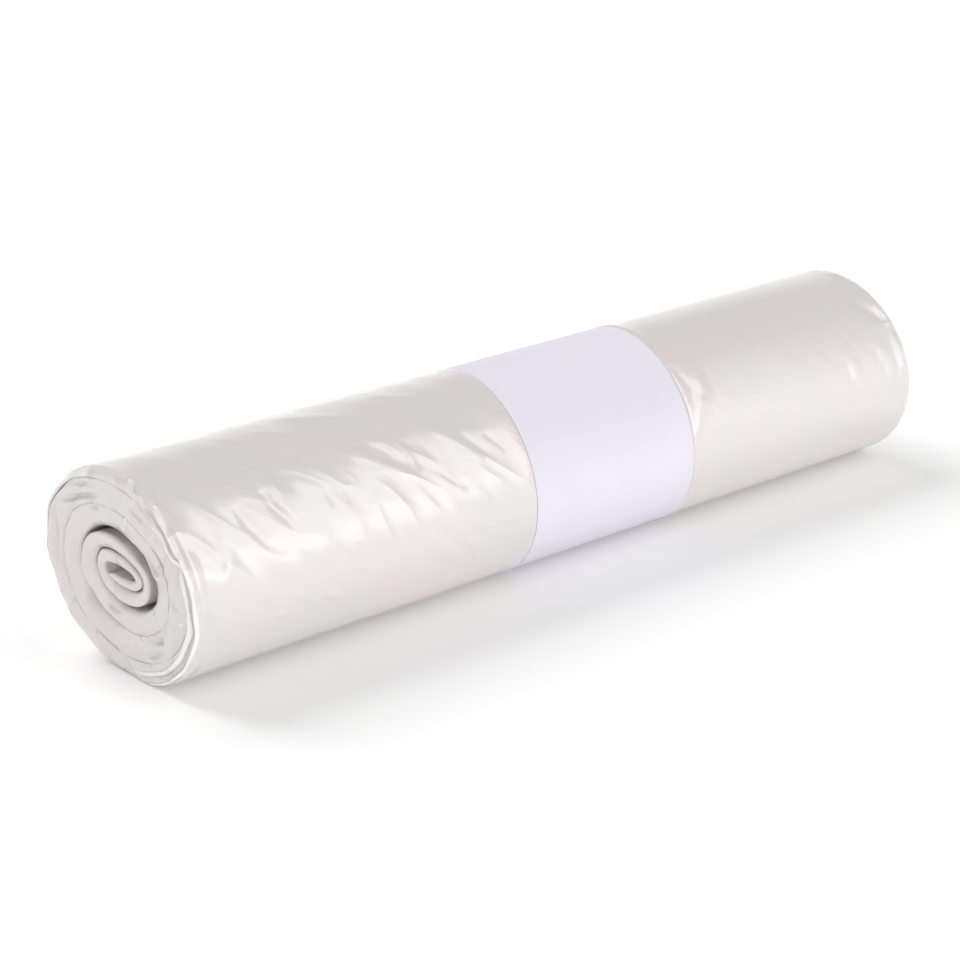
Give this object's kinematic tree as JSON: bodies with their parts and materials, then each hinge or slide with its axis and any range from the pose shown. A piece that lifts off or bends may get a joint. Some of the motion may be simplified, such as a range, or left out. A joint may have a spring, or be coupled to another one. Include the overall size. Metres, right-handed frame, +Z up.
{
  "type": "bin bag roll",
  "caption": "Wound roll of folded translucent bin bags, lying on its side with a plain paper band around it.",
  "frame": {"origin": "on the surface that the roll lies on, under the middle of its length and width", "axes": "+X along the roll, from the near end whose turns show to the far end; +Y to the back; +Z up"},
  "size_m": [0.3048, 0.0678, 0.0617],
  "materials": {
    "film": "milky thin film, softly glossy",
    "paper": "plain white, matt"
  },
  "bodies": {
    "root": {"bag_roll": "film", "paper_band": "paper"}
  },
  "joints": []
}
